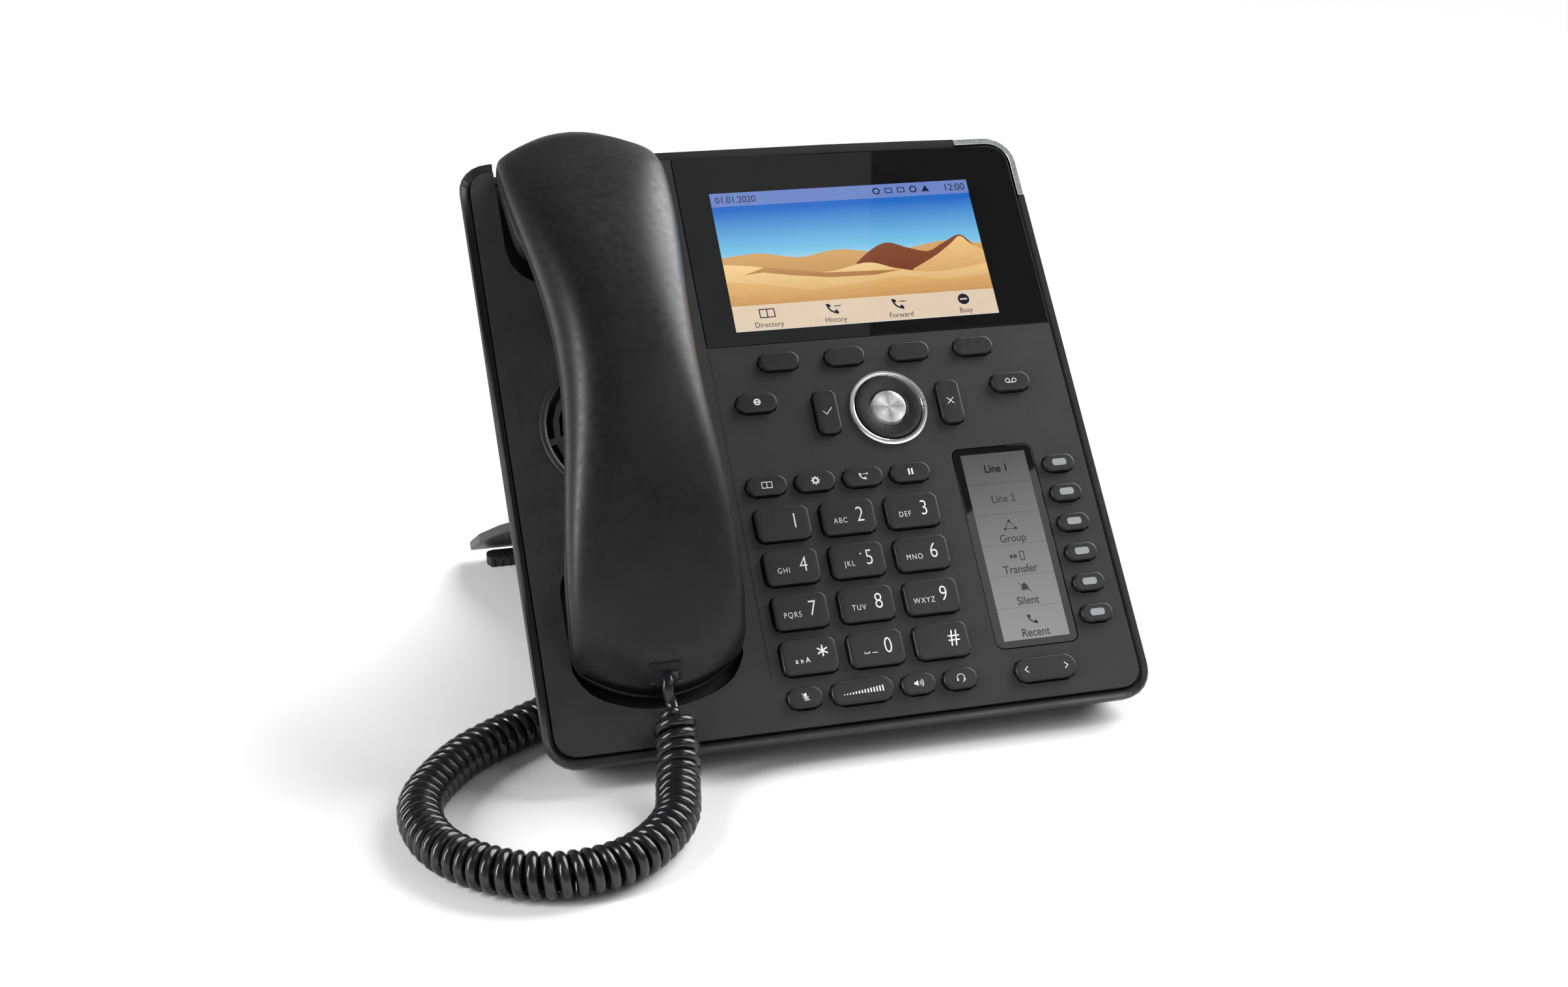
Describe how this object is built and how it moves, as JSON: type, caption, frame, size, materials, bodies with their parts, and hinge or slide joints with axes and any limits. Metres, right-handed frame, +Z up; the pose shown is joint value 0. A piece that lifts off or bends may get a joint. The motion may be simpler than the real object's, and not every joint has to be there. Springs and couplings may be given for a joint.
{
  "type": "desk ip phone",
  "caption": "Desk telephone on a tilted stand, with a colour display, a line-key display, a keypad, a navigation ring and a corded handset on a curly cord.",
  "frame": {"origin": "on the table, under the middle of the telephone measured without its handset cord", "axes": "+Z up, -Y towards the user, +X to the right of the user"},
  "size_m": [0.2487, 0.2588, 0.1751],
  "materials": {
    "housing": "fine moulded grain",
    "handset": "soft-touch satin",
    "key": "satin with printed legends",
    "window": "polished smoked window",
    "colour_screen": "lit colour display",
    "mono_screen": "grey monochrome display",
    "lamp": "milky light pipe",
    "board": "solder mask",
    "silicone": "translucent silicone",
    "speaker": "cone and frame",
    "trim": "polished",
    "button_metal": "spun",
    "jack": "moulded",
    "pad": "ribbed",
    "cord": "glossy jacket",
    "plug": "dark clear"
  },
  "bodies": {
    "root": {"front_cover": "housing", "rear_housing": "housing", "display_window": "window", "main_display": "colour_screen", "line_window": "window", "line_display": "mono_screen", "status_lamp_lens": "lamp", "main_board": "board", "keypad_mat": "silicone", "loudspeaker": "speaker", "nav_trim_ring": "trim", "foot_stand": "housing", "stand_pad": "pad", "jack_block": "jack", "coil_cord": "cord", "base_lead": "cord", "base_plug": "plug"},
    "handset": {"handset_outer": "handset", "handset_inner": "handset", "receiver": "speaker", "handset_lead": "cord", "handset_plug": "plug"},
    "nav_fulcrum": {"nav_fulcrum": "jack"},
    "nav_ring": {"nav_ring": "key"},
    "ok_button": {"ok_button": "button_metal"},
    "dial_key_1": {"dial_key_1": "key"},
    "dial_key_2": {"dial_key_2": "key"},
    "dial_key_3": {"dial_key_3": "key"},
    "dial_key_4": {"dial_key_4": "key"},
    "dial_key_5": {"dial_key_5": "key"},
    "dial_key_6": {"dial_key_6": "key"},
    "dial_key_7": {"dial_key_7": "key"},
    "dial_key_8": {"dial_key_8": "key"},
    "dial_key_9": {"dial_key_9": "key"},
    "dial_key_star": {"dial_key_star": "key"},
    "dial_key_0": {"dial_key_0": "key"},
    "dial_key_hash": {"dial_key_hash": "key"},
    "soft_key_1": {"soft_key_1": "key"},
    "soft_key_2": {"soft_key_2": "key"},
    "soft_key_3": {"soft_key_3": "key"},
    "soft_key_4": {"soft_key_4": "key"},
    "directory_key": {"directory_key": "key"},
    "settings_key": {"settings_key": "key"},
    "transfer_key": {"transfer_key": "key"},
    "hold_key": {"hold_key": "key"},
    "line_key_1": {"line_key_1": "key"},
    "line_key_2": {"line_key_2": "key"},
    "line_key_3": {"line_key_3": "key"},
    "line_key_4": {"line_key_4": "key"},
    "line_key_5": {"line_key_5": "key"},
    "line_key_6": {"line_key_6": "key"},
    "mute_key": {"mute_key": "key"},
    "volume_rocker": {"volume_rocker": "key"},
    "speaker_key": {"speaker_key": "key"},
    "headset_key": {"headset_key": "key"},
    "page_rocker": {"page_rocker": "key"},
    "silence_key": {"silence_key": "key"},
    "message_key": {"message_key": "key"},
    "confirm_key": {"confirm_key": "key"},
    "cancel_key": {"cancel_key": "key"}
  },
  "joints": [
    {"name": "handset_lift", "type": "slide", "parent": "root", "child": "handset", "axis": [0, -0.7266, 0.6871], "range_m": [0, 0.08]},
    {"name": "nav_tilt_left_right", "type": "hinge", "parent": "root", "child": "nav_fulcrum", "pos_m": [0.03174, -0.02197, 0.08905], "axis": [0, 0.6871, 0.7266], "range_deg": [-3, 3], "stiffness_Nm_per_rad": 0.1},
    {"name": "nav_tilt_up_down", "type": "hinge", "parent": "nav_fulcrum", "child": "nav_ring", "pos_m": [0.03174, -0.02197, 0.08905], "axis": [1, 0, 0], "range_deg": [-3, 3], "stiffness_Nm_per_rad": 0.1},
    {"name": "ok_button_press", "type": "slide", "parent": "root", "child": "ok_button", "axis": [0, 0.7266, -0.6871], "range_m": [0, 0.001], "stiffness_N_per_m": 500},
    {"name": "volume_rocker_tilt", "type": "hinge", "parent": "root", "child": "volume_rocker", "pos_m": [0.00189, -0.08888, 0.01829], "axis": [0, 0.6871, 0.7266], "range_deg": [-3, 3], "stiffness_Nm_per_rad": 0.1},
    {"name": "page_rocker_tilt", "type": "hinge", "parent": "root", "child": "page_rocker", "pos_m": [0.06465, -0.08888, 0.01829], "axis": [0, 0.6871, 0.7266], "range_deg": [-3, 3], "stiffness_Nm_per_rad": 0.1},
    {"name": "dial_key_1_press", "type": "slide", "parent": "root", "child": "dial_key_1", "axis": [0, 0.7266, -0.6871], "range_m": [0, 0.0012], "stiffness_N_per_m": 500},
    {"name": "dial_key_2_press", "type": "slide", "parent": "root", "child": "dial_key_2", "axis": [0, 0.7266, -0.6871], "range_m": [0, 0.0012], "stiffness_N_per_m": 500},
    {"name": "dial_key_3_press", "type": "slide", "parent": "root", "child": "dial_key_3", "axis": [0, 0.7266, -0.6871], "range_m": [0, 0.0012], "stiffness_N_per_m": 500},
    {"name": "dial_key_4_press", "type": "slide", "parent": "root", "child": "dial_key_4", "axis": [0, 0.7266, -0.6871], "range_m": [0, 0.0012], "stiffness_N_per_m": 500},
    {"name": "dial_key_5_press", "type": "slide", "parent": "root", "child": "dial_key_5", "axis": [0, 0.7266, -0.6871], "range_m": [0, 0.0012], "stiffness_N_per_m": 500},
    {"name": "dial_key_6_press", "type": "slide", "parent": "root", "child": "dial_key_6", "axis": [0, 0.7266, -0.6871], "range_m": [0, 0.0012], "stiffness_N_per_m": 500},
    {"name": "dial_key_7_press", "type": "slide", "parent": "root", "child": "dial_key_7", "axis": [0, 0.7266, -0.6871], "range_m": [0, 0.0012], "stiffness_N_per_m": 500},
    {"name": "dial_key_8_press", "type": "slide", "parent": "root", "child": "dial_key_8", "axis": [0, 0.7266, -0.6871], "range_m": [0, 0.0012], "stiffness_N_per_m": 500},
    {"name": "dial_key_9_press", "type": "slide", "parent": "root", "child": "dial_key_9", "axis": [0, 0.7266, -0.6871], "range_m": [0, 0.0012], "stiffness_N_per_m": 500},
    {"name": "dial_key_star_press", "type": "slide", "parent": "root", "child": "dial_key_star", "axis": [0, 0.7266, -0.6871], "range_m": [0, 0.0012], "stiffness_N_per_m": 500},
    {"name": "dial_key_0_press", "type": "slide", "parent": "root", "child": "dial_key_0", "axis": [0, 0.7266, -0.6871], "range_m": [0, 0.0012], "stiffness_N_per_m": 500},
    {"name": "dial_key_hash_press", "type": "slide", "parent": "root", "child": "dial_key_hash", "axis": [0, 0.7266, -0.6871], "range_m": [0, 0.0012], "stiffness_N_per_m": 500},
    {"name": "soft_key_1_press", "type": "slide", "parent": "root", "child": "soft_key_1", "axis": [0, 0.7266, -0.6871], "range_m": [0, 0.0012], "stiffness_N_per_m": 500},
    {"name": "soft_key_2_press", "type": "slide", "parent": "root", "child": "soft_key_2", "axis": [0, 0.7266, -0.6871], "range_m": [0, 0.0012], "stiffness_N_per_m": 500},
    {"name": "soft_key_3_press", "type": "slide", "parent": "root", "child": "soft_key_3", "axis": [0, 0.7266, -0.6871], "range_m": [0, 0.0012], "stiffness_N_per_m": 500},
    {"name": "soft_key_4_press", "type": "slide", "parent": "root", "child": "soft_key_4", "axis": [0, 0.7266, -0.6871], "range_m": [0, 0.0012], "stiffness_N_per_m": 500},
    {"name": "directory_key_press", "type": "slide", "parent": "root", "child": "directory_key", "axis": [0, 0.7266, -0.6871], "range_m": [0, 0.0012], "stiffness_N_per_m": 500},
    {"name": "settings_key_press", "type": "slide", "parent": "root", "child": "settings_key", "axis": [0, 0.7266, -0.6871], "range_m": [0, 0.0012], "stiffness_N_per_m": 500},
    {"name": "transfer_key_press", "type": "slide", "parent": "root", "child": "transfer_key", "axis": [0, 0.7266, -0.6871], "range_m": [0, 0.0012], "stiffness_N_per_m": 500},
    {"name": "hold_key_press", "type": "slide", "parent": "root", "child": "hold_key", "axis": [0, 0.7266, -0.6871], "range_m": [0, 0.0012], "stiffness_N_per_m": 500},
    {"name": "line_key_1_press", "type": "slide", "parent": "root", "child": "line_key_1", "axis": [0, 0.7266, -0.6871], "range_m": [0, 0.0012], "stiffness_N_per_m": 500},
    {"name": "line_key_2_press", "type": "slide", "parent": "root", "child": "line_key_2", "axis": [0, 0.7266, -0.6871], "range_m": [0, 0.0012], "stiffness_N_per_m": 500},
    {"name": "line_key_3_press", "type": "slide", "parent": "root", "child": "line_key_3", "axis": [0, 0.7266, -0.6871], "range_m": [0, 0.0012], "stiffness_N_per_m": 500},
    {"name": "line_key_4_press", "type": "slide", "parent": "root", "child": "line_key_4", "axis": [0, 0.7266, -0.6871], "range_m": [0, 0.0012], "stiffness_N_per_m": 500},
    {"name": "line_key_5_press", "type": "slide", "parent": "root", "child": "line_key_5", "axis": [0, 0.7266, -0.6871], "range_m": [0, 0.0012], "stiffness_N_per_m": 500},
    {"name": "line_key_6_press", "type": "slide", "parent": "root", "child": "line_key_6", "axis": [0, 0.7266, -0.6871], "range_m": [0, 0.0012], "stiffness_N_per_m": 500},
    {"name": "mute_key_press", "type": "slide", "parent": "root", "child": "mute_key", "axis": [0, 0.7266, -0.6871], "range_m": [0, 0.0012], "stiffness_N_per_m": 500},
    {"name": "speaker_key_press", "type": "slide", "parent": "root", "child": "speaker_key", "axis": [0, 0.7266, -0.6871], "range_m": [0, 0.0012], "stiffness_N_per_m": 500},
    {"name": "headset_key_press", "type": "slide", "parent": "root", "child": "headset_key", "axis": [0, 0.7266, -0.6871], "range_m": [0, 0.0012], "stiffness_N_per_m": 500},
    {"name": "silence_key_press", "type": "slide", "parent": "root", "child": "silence_key", "axis": [0, 0.7266, -0.6871], "range_m": [0, 0.0012], "stiffness_N_per_m": 500},
    {"name": "message_key_press", "type": "slide", "parent": "root", "child": "message_key", "axis": [0, 0.7266, -0.6871], "range_m": [0, 0.0012], "stiffness_N_per_m": 500},
    {"name": "confirm_key_press", "type": "slide", "parent": "root", "child": "confirm_key", "axis": [0, 0.7266, -0.6871], "range_m": [0, 0.0012], "stiffness_N_per_m": 500},
    {"name": "cancel_key_press", "type": "slide", "parent": "root", "child": "cancel_key", "axis": [0, 0.7266, -0.6871], "range_m": [0, 0.0012], "stiffness_N_per_m": 500}
  ]
}
